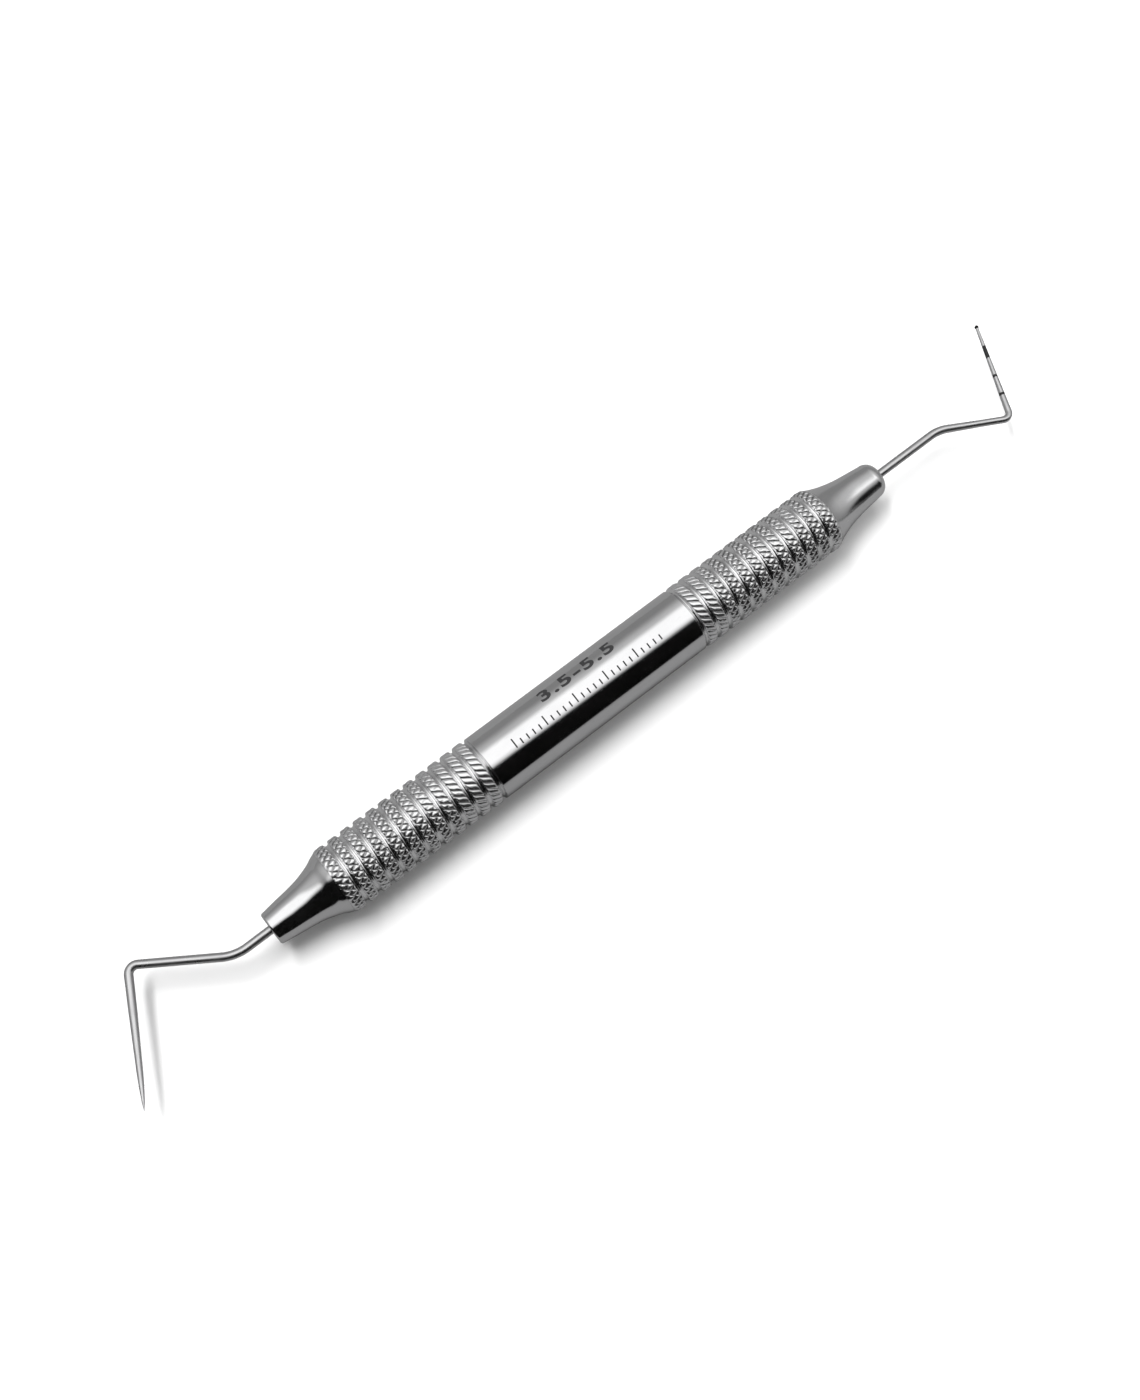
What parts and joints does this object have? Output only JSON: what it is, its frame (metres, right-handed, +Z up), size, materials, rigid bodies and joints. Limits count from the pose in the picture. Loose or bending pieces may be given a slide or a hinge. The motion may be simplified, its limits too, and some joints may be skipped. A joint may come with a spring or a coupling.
{
  "type": "periodontal probe",
  "caption": "Double-ended dental hand instrument: a pointed explorer, a graduated ball-ended probe and a hollow handle with knurled, ring-grooved grips.",
  "frame": {"origin": "on the surface the grips rest on, below the handle's axis and halfway along the instrument's length", "axes": "+X along the handle towards the ball-ended probe, +Y towards the side the ball points to, +Z up; both working ends lie level with the handle's axis"},
  "size_m": [0.1547, 0.0179, 0.0096],
  "materials": {
    "polished_steel": "polished",
    "knurled_steel": "satin",
    "wire_steel": "gloss",
    "silver_braze": "satin",
    "black_marking": "matte"
  },
  "bodies": {
    "root": {"barrel_tube": "polished_steel", "grip_sleeve_explorer": "knurled_steel", "grip_sleeve_probe": "knurled_steel", "cone_explorer": "polished_steel", "cone_probe": "polished_steel", "explorer_tip": "wire_steel", "probe_tip": "wire_steel", "mark_band_3_5_to_5_5": "black_marking", "mark_ring_8_5": "black_marking", "mark_ring_11_5": "black_marking", "braze_collar_explorer": "silver_braze", "braze_collar_probe": "silver_braze"}
  },
  "joints": []
}
